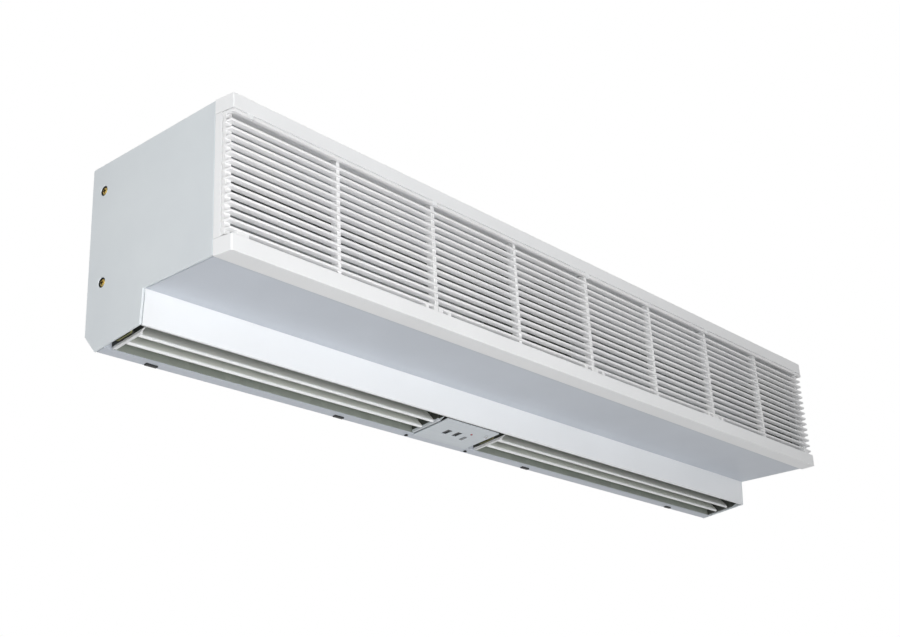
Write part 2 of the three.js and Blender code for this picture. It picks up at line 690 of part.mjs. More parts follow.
// ---------- assembly ----------
add('wall_plate', wallPlate(), finish.steel());
add('rear_panel', rearPanel(), finish.pale());
add('top_panel', topPanel(), finish.pale());
add('box_floor', boxFloor(), finish.grey());
add('throat_front', throatFront(), finish.white());
add('end_cover_left', endCover(-1), finish.pale());
add('end_cover_right', endCover(1), finish.pale());
for (const [label, side] of [['left', -1], ['right', 1]]) {
  add(`end_screw_${label}_upper`, endScrew(side, SCREWS[0]), finish.brass());
  add(`end_screw_${label}_lower`, endScrew(side, SCREWS[1]), finish.brass());
  add(`end_post_${label}`, endPost(side), finish.white());
}
add('top_rail', topRail(), finish.white());
add('bottom_rail', rail(RAIL_LOW), finish.white());
for (let n = 1; n <= PANELS; n++) add(`intake_grille_${n}`, louvrePanel(n), finish.white());
CLIP_X.forEach((x, i) => add(`sill_clip_${i + 1}`, sillClip(x), finish.black()));
for (const [label, x] of Object.entries(SILL_SCREW_X)) {
  add(`sill_screw_${label}`, sillScrew(x), finish.black());
}

const plateAt = (x) => [x, x + SHEET];
add('duct_end_1', ductEnd([LEFT_DUCT[0], LEFT_DUCT[0] + BAR], plateAt(LEFT_DUCT[0]), 10), finish.dark());
add('duct_end_2', ductEnd([LEFT_DUCT[1] - BAR, LEFT_DUCT[1]], plateAt(LEFT_DUCT[1] - SHEET), 12),
  finish.dark());
add('duct_end_3', ductEnd([RIGHT_DUCT[0], RIGHT_DUCT[0] + BAR], plateAt(RIGHT_DUCT[0]), 12), finish.dark());
add('duct_end_4', ductEnd([RIGHT_DUCT[1] - BAR, RIGHT_DUCT[1]], plateAt(RIGHT_DUCT[1] - SHEET), 10),
  finish.dark());

const sides = { left: LEFT_DUCT, right: RIGHT_DUCT };
for (const [side, [a, b]] of Object.entries(sides)) {
  const between = [a + SHEET + GAP, b - SHEET - GAP];
  add(`scroll_${side}`, scroll(between), finish.steel());
  add(`tongue_${side}`, tongue(between), finish.steel());
  for (const [row, noseY] of Object.entries(VANE_NOSES_Y)) {
    add(`vane_${side}_${row}`, vane([a + BAR + 0.6, b - BAR - 0.6], noseY, 7.4, 4.2), finish.alloy());
    add(`vane_lever_${side}_${row}`, lever(a - 0.5, noseY), finish.black());
  }
  add(`vane_link_${side}`, link(a - 3.2), finish.brass());
}

add('fan_wheel_left', wheel([LEFT_DUCT[0] + 7, LEFT_DUCT[1] - 5], 1, 1), finish.fan());
add('fan_wheel_right', wheel([RIGHT_DUCT[0] + 5, RIGHT_DUCT[1] - 7], -1, 2), finish.fan());
add('bearing_left', bearing(LEFT_DUCT[0] + SHEET / 2), finish.black());
add('bearing_right', bearing(RIGHT_DUCT[1] - SHEET / 2), finish.black());
add('motor', motor(), finish.steel());
add('motor_shaft', motorShaft(), finish.steel());
add('motor_cradle', motorCradle(), finish.steel());
add('capacitor', capacitor(), finish.silver());
add('terminal_block', terminalBlock(), finish.white());
add('cable_grommet', cableGrommet(), finish.black());

unit.add(controls);
add('control_box', controlBox(), finish.black(), controls);
add('control_plate', controlPlate(), finish.silver(), controls);
add('power_rocker', rocker(ROCKERS.power), finish.black(), controls);
add('speed_rocker', rocker(ROCKERS.speed), finish.black(), controls);
add('pilot_lamp', pilotLamp(), finish.red(), controls);
add('receiver_window', receiverWindow(), finish.black(), controls);
add('plate_screw', plateScrew(), finish.steel(), controls);

const airCurtain = new THREE.Group();
airCurtain.add(unit);
export default airCurtain;
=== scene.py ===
# %% [markdown]
# A wall-hung air curtain: a long white box above a doorway. It draws room air in through louvred
# panels at the front and blows it straight down through a slot. The construction comes in as a
# fixed frame of separate solids. This script gives them their finishes, adds the fine forms that
# are too small for the construction model, and sets up the studio.

import math

import bmesh
import bpy
from mathutils import Matrix, Vector


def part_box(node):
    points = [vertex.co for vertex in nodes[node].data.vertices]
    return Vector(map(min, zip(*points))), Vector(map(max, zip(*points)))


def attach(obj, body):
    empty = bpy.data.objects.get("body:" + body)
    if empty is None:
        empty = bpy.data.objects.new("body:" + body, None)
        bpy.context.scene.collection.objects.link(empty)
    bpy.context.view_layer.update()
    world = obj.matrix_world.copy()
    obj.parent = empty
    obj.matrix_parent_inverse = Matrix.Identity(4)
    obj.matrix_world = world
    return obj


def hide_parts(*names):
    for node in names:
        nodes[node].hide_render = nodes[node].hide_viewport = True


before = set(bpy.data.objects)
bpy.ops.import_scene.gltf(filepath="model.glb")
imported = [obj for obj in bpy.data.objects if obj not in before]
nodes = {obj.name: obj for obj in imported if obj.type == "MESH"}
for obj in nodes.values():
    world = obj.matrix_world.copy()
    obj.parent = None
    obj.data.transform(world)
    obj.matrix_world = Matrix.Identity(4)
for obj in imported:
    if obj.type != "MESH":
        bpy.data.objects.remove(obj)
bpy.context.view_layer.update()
MM = 0.001

# %% [markdown]
# The camera comes first. The picture was taken from the left, from below and from close by, so
# the near end looks much taller than the far end. The eye point, the three angles and the focal
# length were found by fitting the long edges and the evenly spaced louvres.

# %% Camera
IMAGE_WIDTH_PX = 900
FOCAL_PX = 1308.2
SENSOR_MM = 36
EYE = Vector((-1.318993, -1.093250, -0.598132))
HEADING = math.radians(50.1022)  # to the right of straight at the wall
PITCH = math.radians(21.7195)  # upwards
ROLL = math.radians(-2.9862)

lens = bpy.data.cameras.new("camera")
lens.sensor_width = SENSOR_MM
lens.lens = FOCAL_PX / IMAGE_WIDTH_PX * SENSOR_MM
lens.clip_end = 50
camera = bpy.data.objects.new("camera", lens)
turn = (
    Matrix.Rotation(-HEADING, 4, "Z")
    @ Matrix.Rotation(math.pi / 2 + PITCH, 4, "X")
    @ Matrix.Rotation(ROLL, 4, "Z")
)
camera.matrix_world = Matrix.Translation(EYE) @ turn
bpy.context.scene.collection.objects.link(camera)
bpy.context.scene.camera = camera
bpy.context.scene.view_settings.view_transform = "Standard"
print("lens of", round(lens.lens, 1), "mm")

# %% [markdown]
# Colours are written as sRGB hex values, the way a paint chart gives them. Shaders work with
# linear light, so one function turns one into the other.

# %% Colour and node helpers
def srgb(code):
    """An sRGB hex value as linear RGBA."""
    channels = [int(code[i : i + 2], 16) / 255 for i in (1, 3, 5)]
    linear = [c / 12.92 if c <= 0.04045 else ((c + 0.055) / 1.055) ** 2.4 for c in channels]
    return (*linear, 1.0)


def add(tree, kind, settings=None, **sockets):
    """Adds one node. A socket is given by its name, with a number or another node's output."""
    made = tree.nodes.new("ShaderNode" + kind)
    for key, value in (settings or {}).items():
        setattr(made, key, value)
    for key, value in sockets.items():
        socket = made.inputs[key.replace("_", " ")]
        if isinstance(value, bpy.types.NodeSocket):
            tree.links.new(value, socket)
        else:
            socket.default_value = value
    return made


def start(name, roughness, metallic=0.0, **sockets):
    """A material with its shader, and the place on the piece that patterns are measured from."""
    made = bpy.data.materials.new(name)
    made.use_nodes = True
    tree = made.node_tree
    tree.nodes.clear()
    shader = add(tree, "BsdfPrincipled", Roughness=roughness, Metallic=metallic, **sockets)
    add(tree, "OutputMaterial", Surface=shader.outputs["BSDF"])
    place = add(tree, "TexCoord").outputs["Object"]
    return made, tree, shader, place


def mottle(tree, place, shader, dark, light, size_mm, stretch=(1, 1, 1)):
    """The colour drifts between two tones, in patches of the given size."""
    mapped = add(tree, "Mapping", Vector=place, Scale=stretch).outputs["Vector"]
    noise = add(tree, "TexNoise", Vector=mapped, Scale=1 / (size_mm * MM), Detail=3.0)
    ramp = add(tree, "ValToRGB", Fac=noise.outputs["Fac"])
    ramp.color_ramp.elements[0].position = 0.3
    ramp.color_ramp.elements[0].color = srgb(dark)
    ramp.color_ramp.elements[1].position = 0.7
    ramp.color_ramp.elements[1].color = srgb(light)
    tree.links.new(ramp.outputs["Color"], shader.inputs["Base Color"])
    return noise


def relief(tree, shader, height, depth_mm, strength=1.0):
    """Small bumps of the given depth."""
    bump = add(tree, "Bump", Height=height, Distance=depth_mm * MM, Strength=strength)
    tree.links.new(bump.outputs["Normal"], shader.inputs["Normal"])


def varied_gloss(tree, shader, factor, low, high):
    """Roughness that drifts between two values."""
    span = add(tree, "MapRange", Value=factor, To_Min=low, To_Max=high)
    tree.links.new(span.outputs["Result"], shader.inputs["Roughness"])


def seen_directly(tree):
    """1 for the camera, in reflections and through clear plastic, 0 for light on surfaces."""
    rays = add(tree, "LightPath").outputs
    seen = rays["Is Camera Ray"]
    for kind in ("Is Glossy Ray", "Is Transmission Ray"):
        either = add(tree, "Math", {"operation": "MAXIMUM"})
        tree.links.new(seen, either.inputs[0])
        tree.links.new(rays[kind], either.inputs[1])
        seen = either.outputs[0]
    return seen


print("pure white is", srgb("#ffffff"))

# %% [markdown]
# **Powder-coated steel sheet.** The box itself is folded steel, sprayed with dry powder and
# baked. The powder melts into a satin skin with a very shallow orange peel, a millimetre or two
# across, which only shows where a highlight crosses it. It is drawn at 2 mm.

# %% Powder coat
PEEL_MM = 2.0


def powder_coat(name, dark, light, roughness):
    made, tree, shader, place = start(name, roughness, Specular_IOR_Level=0.5, IOR=1.5)
    mottle(tree, place, shader, dark, light, 160)
    peel = add(tree, "TexNoise", Vector=place, Scale=1 / (PEEL_MM * MM), Detail=1.0)
    relief(tree, shader, peel.outputs["Fac"], 0.02)
    varied_gloss(tree, shader, peel.outputs["Fac"], roughness - 0.05, roughness + 0.05)
    return made


# The box floor, top and rear panels are drawn cool grey: the casing's white coat darkened as painted
# shade, for the sides that face away from the lamps.
shade_grey_coat = powder_coat("powder_coat_painted_shade_grey", "#ccd2db", "#d3d9e2", 0.42)
white_coat = powder_coat("powder_coat_white", "#f0f2f4", "#f5f7f9", 0.38)
print("powder coat:", shade_grey_coat.name, white_coat.name)

# %% [markdown]
# **Moulded ABS.** The end covers, the rails and the louvre panels are injection moulded. The
# mould is spark eroded, so the surface has a fine grain of a third of a millimetre. That is too
# fine for the picture, so it is drawn at 0.8 mm. The colour is in the plastic, with hardly any
# drift.

# %% Moulded ABS
GRAIN_MM = 0.8
CASE_Z = -120  # the casing's lowest edge, from the origin
SILL_Y = -18
OUTLET_SLOPE = 8.5 / 76


def moulded_abs(name, dark, light, roughness, grain=0.02):
    made, tree, shader, place = start(name, roughness, IOR=1.53)
    mottle(tree, place, shader, dark, light, 90)
    sparks = add(tree, "TexNoise", Vector=place, Scale=1 / (GRAIN_MM * MM), Detail=2.0)
    relief(tree, shader, sparks.outputs["Fac"], grain)
    varied_gloss(tree, shader, sparks.outputs["Fac"], roughness - 0.04, roughness + 0.06)
    return made


white_abs = moulded_abs("moulded_abs_white", "#f4f5f6", "#f8f9fa", 0.34)
louvre_abs = moulded_abs("moulded_abs_soft_white", "#f3f3f4", "#f8f8f8", 0.4)
pale_abs = moulded_abs("moulded_abs_pale_grey", "#dde3e7", "#e3e9ec", 0.42)
black_abs = moulded_abs("moulded_abs_black", "#17191b", "#1f2123", 0.5, 0.03)
print("moulded ABS in four colours")

# %% [markdown]
# The end walls of the two air ducts are mouldings, drawn dark grey as painted shade for the deep
# shade behind the vanes. On three of them the edge that lies in the outlet is painted. The paint
# stops 3 mm above the outlet's sloping plane, and the shader works that height out from the place.

# %% Duct end walls
PAINTED_HEIGHT_MM = 3.0


def painted_edge_over_painted_shade(name, paint):
    made, tree, shader, place = start(name, 0.5, IOR=1.53)
    parts = add(tree, "SeparateXYZ", Vector=place).outputs
    slope = add(tree, "Math", {"operation": "MULTIPLY_ADD"})
    tree.links.new(parts["Y"], slope.inputs[0])
    slope.inputs[1].default_value = OUTLET_SLOPE
    tree.links.new(parts["Z"], slope.inputs[2])
    limit = (CASE_Z + SILL_Y * OUTLET_SLOPE + PAINTED_HEIGHT_MM) * MM
    above = add(tree, "Math", {"operation": "GREATER_THAN"})
    tree.links.new(slope.outputs[0], above.inputs[0])
    above.inputs[1].default_value = limit
    colour = add(tree, "ValToRGB", Fac=above.outputs[0])
    colour.color_ramp.elements[0].color = srgb(paint)
    # Above the paint line the wall is dark grey: painted shade.
    colour.color_ramp.elements[1].color = srgb("#3b3e39")
    tree.links.new(colour.outputs["Color"], shader.inputs["Base Color"])
    sparks = add(tree, "TexNoise", Vector=place, Scale=1 / (GRAIN_MM * MM), Detail=2.0)
    relief(tree, shader, sparks.outputs["Fac"], 0.02)
    return made


white_edged_abs = painted_edge_over_painted_shade("moulded_abs_painted_shade_white_edge", "#f4f5f6")
silver_edged_abs = painted_edge_over_painted_shade("moulded_abs_painted_shade_silver_edge", "#cdd3d8")
# The fourth end wall is dark grey all over: painted shade.
painted_shade_abs = moulded_abs("moulded_abs_painted_shade_grey", "#363935", "#3e413c", 0.5)
print("painted up to", PAINTED_HEIGHT_MM, "mm above the outlet")

# %% [markdown]
# **Galvanised sheet.** Hidden sheet pieces are dipped in molten zinc. It freezes into flat
# crystals, a pattern called spangle, about 12 mm across, each a little lighter or darker. In the
# air ducts the zinc has weathered to a dull grey, so it hardly shines.

# %% Galvanised sheet
SPANGLE_MM = 12.0


def galvanised_sheet(name, dark, light, metallic):
    made, tree, shader, place = start(name, 0.5, metallic)
    crystals = add(tree, "TexVoronoi", Vector=place, Scale=1 / (SPANGLE_MM * MM))
    ramp = add(tree, "ValToRGB", Fac=crystals.outputs["Color"])
    ramp.color_ramp.elements[0].color = srgb(dark)
    ramp.color_ramp.elements[1].color = srgb(light)
    tree.links.new(ramp.outputs["Color"], shader.inputs["Base Color"])
    varied_gloss(tree, shader, crystals.outputs["Color"], 0.42, 0.6)
    return made


galvanised = galvanised_sheet("galvanised_sheet", "#a9adae", "#cfd3d4", 0.9)
weathered_zinc = galvanised_sheet("weathered_galvanised_sheet", "#878d86", "#969b94", 0.3)
print("spangle of", SPANGLE_MM, "mm")

# %% [markdown]
# **Aluminium, several ways.** The vanes are extruded and etched to a soft grey, so faint die
# lines run along them, and their lower edge is painted. The control plate is rolled sheet, satin
# anodised, with a fine grain along its length. The fan blades are pressed from mill-finish sheet
# and stay bare and a little dull.

# %% Aluminium
def lined_metal(name, dark, light, roughness, metallic, line_mm, depth_mm, drawn_out=400.0):
    """Fine lines that run along X: noise that is drawn out lengthways."""
    made, tree, shader, place = start(name, roughness, metallic)
    grain = mottle(tree, place, shader, dark, light, line_mm, (1 / drawn_out, 1, 1))
    relief(tree, shader, grain.outputs["Fac"], depth_mm)
    varied_gloss(tree, shader, grain.outputs["Fac"], roughness - 0.06, roughness + 0.08)
    return made


etched_alloy = lined_metal("etched_aluminium", "#eaede6", "#f1f4ee", 0.5, 0.0, 1.5, 0.015)
painted_edge = lined_metal("painted_aluminium", "#f1f3f4", "#f7f9fa", 0.38, 0.0, 1.5, 0.01)
plate_metal = lined_metal("anodised_aluminium", "#cfd6dc", "#dbe1e6", 0.4, 0.2, 0.5, 0.006, 60.0)
fan_metal = lined_metal("mill_aluminium", "#9a9fa2", "#b4b9bb", 0.42, 1.0, 4.0, 0.02, 20.0)
can_metal = lined_metal("drawn_aluminium_can", "#b8bcbe", "#c9cdcf", 0.3, 1.0, 1.0, 0.006, 40.0)
for finish in (etched_alloy, painted_edge, plate_metal, fan_metal, can_metal):
    print("aluminium:", finish.name)

# %% [markdown]
# ** Plated and blackened screws.** Yellow zinc is a thin passivated layer that shifts between
# straw, green and pink over a millimetre or two. The vane links are yellow zinc too, drawn darker
# and olive: painted shade, for the dark lever slots they sit in.
# Bright zinc is plain silver, and blackened steel is zinc with a black passivated layer. The same
# black in the screws' cross recesses and on the cup washers is painted shade.

# %% Plated steel
def plated_steel(name, tones, roughness):
    made, tree, shader, place = start(name, roughness, 1.0)
    film = add(tree, "TexNoise", Vector=place, Scale=1 / (2.0 * MM), Detail=2.0)
    ramp = add(tree, "ValToRGB", Fac=film.outputs["Fac"])
    ramp.color_ramp.elements.new(0.5)
    for element, position, tone in zip(ramp.color_ramp.elements, (0.35, 0.5, 0.65), tones):
        element.position = position
        element.color = srgb(tone)
    tree.links.new(ramp.outputs["Color"], shader.inputs["Base Color"])
    return made


yellow_zinc = plated_steel("yellow_zinc_steel", ("#a98a3e", "#bb9b50", "#9d9158"), 0.3)
# The vane links' yellow zinc, drawn darker and olive: painted shade for their dark slots.
shaded_yellow_zinc = plated_steel("yellow_zinc_with_painted_shade", ("#6f6f4c", "#87835a", "#5f6a4f"), 0.45)
bright_zinc = plated_steel("bright_zinc_steel", ("#b4b7b9", "#c4c7c9", "#bcbfc1"), 0.28)
black_steel_and_shade = plated_steel("blackened_steel_and_painted_shade", ("#1c1d1e", "#242526", "#202122"), 0.45)
print("plated:", yellow_zinc.name, shaded_yellow_zinc.name, bright_zinc.name, black_steel_and_shade.name)

# %% [markdown]
# **The small parts.** Rocker switches are polished nylon, the pilot lamp and the receiver's
# window are clear plastic, the grommet and the bearing mounts are rubber, and the motor shell is
# dipped in a thick grey enamel.

# %% Small-part finishes
rubber = moulded_abs("moulded_rubber_black", "#131313", "#1b1b1a", 0.72, 0.04)
switch_nylon = moulded_abs("polished_nylon_black", "#0b0c0d", "#111213", 0.36, 0.004)
black_nylon = moulded_abs("moulded_nylon_black", "#1b1d1a", "#252723", 0.4, 0.02)
motor_enamel = powder_coat("dipped_enamel_grey", "#6d7275", "#787d80", 0.4)


def clear_plastic(name, colour, depth):
    made, tree, shader, place = start(name, 0.08, IOR=1.49, Transmission_Weight=depth)
    shader.inputs["Base Color"].default_value = srgb(colour)
    haze = add(tree, "TexNoise", Vector=place, Scale=1 / (3 * MM), Detail=1.0)
    varied_gloss(tree, shader, haze.outputs["Fac"], 0.05, 0.12)
    return made


lamp_red = clear_plastic("clear_polycarbonate_red", "#b8232e", 0.35)
window_smoke = clear_plastic("smoked_polycarbonate", "#84898d", 0.3)
print("small parts: rubber, nylon, enamel and two clear plastics")

# %% [markdown]
# Every folded, moulded or cut edge on a real piece has a small radius that catches the light.
# The construction solids have sharp ones. A stack of modifiers rounds them: the split corners
# are welded, flat facets are merged, and each sharp edge gets a narrow round.

# %% Rounded edges
def rounded(name, radius_mm, steps=2, sharp_deg=32):
    """Rounds the sharp edges of a solid, and shades its flat faces flat."""
    solid = nodes[name]
    weld = solid.modifiers.new("weld", "WELD")
    weld.merge_threshold = 0.002 * MM
    merge = solid.modifiers.new("merge_flat_facets", "DECIMATE")
    merge.decimate_type = "DISSOLVE"
    merge.angle_limit = math.radians(0.5)
    edge = solid.modifiers.new("edge_radius", "BEVEL")
    edge.width = radius_mm * MM
    edge.segments = steps
    edge.limit_method = "ANGLE"
    edge.angle_limit = math.radians(sharp_deg)
    for face in solid.data.polygons:
        face.use_smooth = True
    shading = solid.modifiers.new("flat_faces_stay_flat", "WEIGHTED_NORMAL")
    shading.weight = 100
    return solid


def dress(finish, radius_mm, *names, steps=2):
    """Gives solids their finish and their edge radius."""
    for name in names:
        solid = nodes[name]
        solid.data.materials.clear()
        solid.data.materials.append(finish)
        if radius_mm:
            rounded(name, radius_mm, steps)


SIDES = ("left", "right")
ROWS = ("front", "rear")
# The cool grey of these three panels is painted shade.
dress(shade_grey_coat, 0.5, "rear_panel", "top_panel", "box_floor")
dress(white_coat, 0.5, "throat_front")
dress(pale_abs, 0.4, "end_cover_left", "end_cover_right")
dress(white_abs, 0.8, "top_rail", "bottom_rail", steps=3)
dress(white_abs, 0.6, "end_post_left", "end_post_right")
dress(black_abs, 0.4, *[f"sill_clip_{n}" for n in range(1, 5)])
# The dark grey of all four duct end walls is painted shade; white and silver are painted edges.
dress(white_edged_abs, 0.4, "duct_end_1", "duct_end_3")
dress(silver_edged_abs, 0.4, "duct_end_2")
dress(painted_shade_abs, 0.4, "duct_end_4")
dress(weathered_zinc, 0.4, *[f"{p}_{s}" for p in ("scroll", "tongue") for s in SIDES])
dress(black_nylon, 0.3, *[f"vane_lever_{s}_{r}" for s in SIDES for r in ROWS])
# The links are yellow zinc; their olive darkness is painted shade.
dress(shaded_yellow_zinc, 0.3, *[f"vane_link_{s}" for s in SIDES])
dress(galvanised, 0.5, "wall_plate", "motor_cradle")
dress(white_abs, 0.6, "terminal_block")
dress(black_abs, 0.5, "control_box")
dress(plate_metal, 0.3, "control_plate")
dress(window_smoke, 0.3, "receiver_window")
print("dressed", sum(bool(n.data.materials) for n in nodes.values()), "solids")

# %% [markdown]
# Round pieces are drawn again from finer meshes, because a coarse solid shows its facets. A
# turned piece is a half outline swept round its axis, and an extruded one is an outline drawn
# out along X. Both are written in millimetres, in the construction model's own places.

# %% Helpers for finer pieces
def ring(shape, radius, height, steps):
    """A ring of points about Z, or one point where the radius is zero."""
    turns = [2 * math.pi * k / steps for k in range(steps if radius else 1)]
    return [
        shape.verts.new((radius * math.cos(a) * MM, radius * math.sin(a) * MM, height * MM))
        for a in turns
    ]


def skin(shape, first, second, closed=True):
    """Faces between two rows of points. A single point makes a fan."""
    count = max(len(first), len(second))
    for k in range(count if closed else count - 1):
        after = (k + 1) % count
        corners = [first[k % len(first)], first[after % len(first)]]
        corners += [second[after % len(second)], second[k % len(second)]]
        shape.faces.new(list(dict.fromkeys(corners)))


def turned(profile, steps=40, shape=None):
    """Turns (radius, height) points about Z. If the last point is the first one, it is a ring."""
    shape = shape or bmesh.new()
    rows = [ring(shape, radius, height, steps) for radius, height in profile]
    if profile[0] == profile[-1]:
        bmesh.ops.delete(shape, geom=rows.pop(), context="VERTS")
        rows.append(rows[0])
    for first, second in zip(rows, rows[1:]):
        skin(shape, first, second)
    return shape


def extruded(outline, start, end, shape=None):
    """Draws a closed (y, z) outline out along X."""
    shape = shape or bmesh.new()
    ends = [[shape.verts.new((x * MM, y * MM, z * MM)) for y, z in outline] for x in (start, end)]
    skin(shape, *ends)
    for end_row in ends:
        shape.faces.new(end_row)
    return shape


def along(direction, place):
    """The matrix that stands a turned piece's axis in a direction, with its foot in a place."""
    lean = Vector((0, 0, 1)).rotation_difference(Vector(direction)).to_matrix().to_4x4()
    return Matrix.Translation(Vector(place) * MM) @ lean


def placed(shape, matrix, finish_number=0):
    """Moves a shape, and says which of its piece's finishes it has."""
    bmesh.ops.transform(shape, matrix=matrix, verts=shape.verts)
    for face in shape.faces:
        face.material_index = finish_number
    return shape


def join_into(shape, other):
    """Adds another shape's faces to a shape."""
    carrier = bpy.data.meshes.new("carrier")
    other.to_mesh(carrier)
    other.free()
    shape.from_mesh(carrier)
    bpy.data.meshes.remove(carrier)


def carved(shape, cutter):
    """Cuts one shape out of another."""
    pair = []
    for each in (shape, cutter):
        bmesh.ops.recalc_face_normals(each, faces=each.faces)
        mesh = bpy.data.meshes.new("carving")
        each.to_mesh(mesh)
        each.free()
        pair.append(bpy.data.objects.new("carving", mesh))
        bpy.context.scene.collection.objects.link(pair[-1])
    cut = pair[0].modifiers.new("cut", "BOOLEAN")
    cut.operation = "DIFFERENCE"
    cut.object = pair[1]
    result = bmesh.new()
    result.from_object(pair[0], bpy.context.evaluated_depsgraph_get())
    for each in pair:
        mesh = each.data
        bpy.data.objects.remove(each)
        bpy.data.meshes.remove(mesh)
    return result


def make(name, shape, finishes, body, stands_for, sharp_deg=35):
    """Turns a shape into a piece that rides on a body and stands for construction solids."""
    bmesh.ops.recalc_face_normals(shape, faces=shape.faces)
    mesh = bpy.data.meshes.new(name)
    shape.to_mesh(mesh)
    shape.free()
    for face in mesh.polygons:
        face.use_smooth = True
    mesh.set_sharp_from_angle(angle=math.radians(sharp_deg))
    for finish in finishes:
        mesh.materials.append(finish)
    made = bpy.data.objects.new(name, mesh)
    bpy.context.scene.collection.objects.link(made)
    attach(made, body)
    if stands_for:
        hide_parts(*stands_for)
    return made


print("helpers for turned and extruded pieces")

# %% [markdown]
# **Air vanes.** A vane is a drop-shaped aluminium extrusion on two steel pins. Its blunt lower
# edge is painted white like the casing, and the flanks are etched grey, so from below each
# slot shows as thin white lines on a darker ground. The outline is two arcs joined by straight
# flanks.

# %% Vanes
VANE_LEAN = math.radians(35)
NOSE_BELOW_PIN = 11.6
TAIL_ABOVE_PIN = 13
NOSE_R = 2.0
SOLID_NOSE_BELOW_PIN = 11  # the construction solid's nose is blunter and sits higher
SOLID_NOSE_HEIGHT = 2.8
PIN_HEIGHT = SOLID_NOSE_HEIGHT + SOLID_NOSE_BELOW_PIN * math.cos(VANE_LEAN)  # above the outlet
PIN_BEHIND = SOLID_NOSE_BELOW_PIN * math.sin(VANE_LEAN)
TAIL_R = 0.8
PAINTED_UP_TO = -11.2  # from the pin, along the vane
FLANK_ABOVE_PAINT = 1.6  # a face whose middle is higher than this is a flank
PIN_R = 1.5
VANE_NOSES = {"front": -69.5, "rear": -49.5}
PIN_OUT = (7.4, 4.2)  # how far the pins stand out of the vane's left and right ends


def vane_pin(nose_y):
    """Where a vane's pin runs, in the YZ plane."""
    return nose_y + PIN_BEHIND, (SILL_Y - nose_y) * OUTLET_SLOPE + PIN_HEIGHT + CASE_Z


def vane_outline(nose_y):
    """The drop, as (y, z), starting on the front flank at the paint's edge."""
    share = (PAINTED_UP_TO + NOSE_BELOW_PIN) / (TAIL_ABOVE_PIN - TAIL_R + NOSE_BELOW_PIN)
    paint_half = NOSE_R + (TAIL_R - NOSE_R) * share
    points = [(-paint_half, PAINTED_UP_TO)]
    for k in range(13):
        turn = math.pi + math.pi * k / 12
        points.append((NOSE_R * math.cos(turn), -NOSE_BELOW_PIN + NOSE_R * math.sin(turn)))
    points.append((paint_half, PAINTED_UP_TO))
    for k in range(7):
        turn = math.pi * k / 6
        top = TAIL_ABOVE_PIN - TAIL_R
        points.append((TAIL_R * math.cos(turn), top + TAIL_R * math.sin(turn)))
    pin_y, pin_z = vane_pin(nose_y)
    sin, cos = math.sin(VANE_LEAN), math.cos(VANE_LEAN)
    return [(pin_y + t * cos + u * sin, pin_z - t * sin + u * cos) for t, u in points]


def vane(side, row):
    node = f"vane_{side}_{row}"
    low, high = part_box(node)
    start, end = low.x / MM + PIN_OUT[0], high.x / MM - PIN_OUT[1]
    nose_y = VANE_NOSES[row]
    shape = extruded(vane_outline(nose_y), start, end)
    pin_y, pin_z = vane_pin(nose_y)
    paint_z = pin_z + PAINTED_UP_TO * math.cos(VANE_LEAN)
    for face in shape.faces:
        face.material_index = int(face.calc_center_median().z > (paint_z + FLANK_ABOVE_PAINT) * MM)
    for x0, x1 in ((start - PIN_OUT[0], start), (end, end + PIN_OUT[1])):
        pin = turned([(0, x0), (PIN_R - 0.2, x0), (PIN_R, x0 + 0.2), (PIN_R, x1), (0, x1)], 20)
        join_into(shape, placed(pin, along((1, 0, 0), (0, pin_y, pin_z)), 1))
    name, body = f"air_vane_{side}_{row}", f"{side}_{row}_vane"
    return make(name, shape, (painted_edge, etched_alloy), body, (node,))


for side in SIDES:
    for row in ROWS:
        vane(side, row)
print("pins at", [[round(v, 1) for v in vane_pin(y)] for y in VANE_NOSES.values()])

# %% [markdown]
# **Louvre panels.** A panel is one moulding: fourteen louvres on thin uprights, hung from a top
# bar. So that it leaves its mould, each louvre is thick at its rounded front and thin at the rear.
# That also lets the gaps look deep from below. A louvre is a small section swept along the panel,
# and on the two end panels it goes on round the corner. The top bar has a pocket and a bore for
# each hinge lug.

# %% Louvre panels
LOUVRES = 14
PITCH = 9
FIRST_LOUVRE_Z = -50.9
FRAME_FRONT_Y = -228.3
LOUVRE_FRONT_Y = -225.8
LOUVRE_REAR_Y = -217.2
TOP_BAR_REAR_Y = -218.3
PANEL_REAR_Y = -214.2
PANEL_W = 300
HALF_LENGTH = 600
SEAM = 0.3
PANEL_BOTTOM_Z = -56.2
PANEL_TOP_Z = 78.2
HINGE_Y = -226.1
HINGE_Z = 76
HINGE_LUGS = (-575, -300, 0, 300, 575)
LUG_REACH = 6  # a lug this far outside a panel still cuts into its bar
LUG_POCKET = ((-4.4, 4.4), (-229.3, -222.7), (73.5, 79.2))
PIN_BORE_R = 1.25
PIN_BORE_HALF = 8.2
LOUVRE_SECTION = ((0.12, -1.45), (0.03, -1.2), (0, -0.75), (0, 0.75), (0.03, 1.2), (0.12, 1.5))
LOUVRE_SECTION += ((1, 1.2), (1, -0.4))
TOP_BAR_SECTION = ((0, -2.4), (0, 1), (0.12, 2.2), (1, 2.2), (1, 1.2), (0.38, 1.2), (0.38, -2.4))
RIB = 2.6
MIDDLE_RIB = 5
RIB_SET_BACK = 2.6
RELEASE_TABS = ((0, 6.7), (15.7, 21))  # from a panel's edge, on both sides of a finger notch
CORNER_TAB = (24, 9.3)  # back from the corner, where a panel wraps round it
CORNER_BAR = (8, 0.6, 4)  # from the frame's end, its own start, and its depth
FRAME_LEAN = 2.6 / 24.3  # inwards, for each millimetre towards the front
LEAN_STARTS_Y = -204


def frame_x(y):
    """Half the frame's length at a depth: its ends lean in towards the front."""
    return HALF_LENGTH - FRAME_LEAN * (LEAN_STARTS_Y - y)


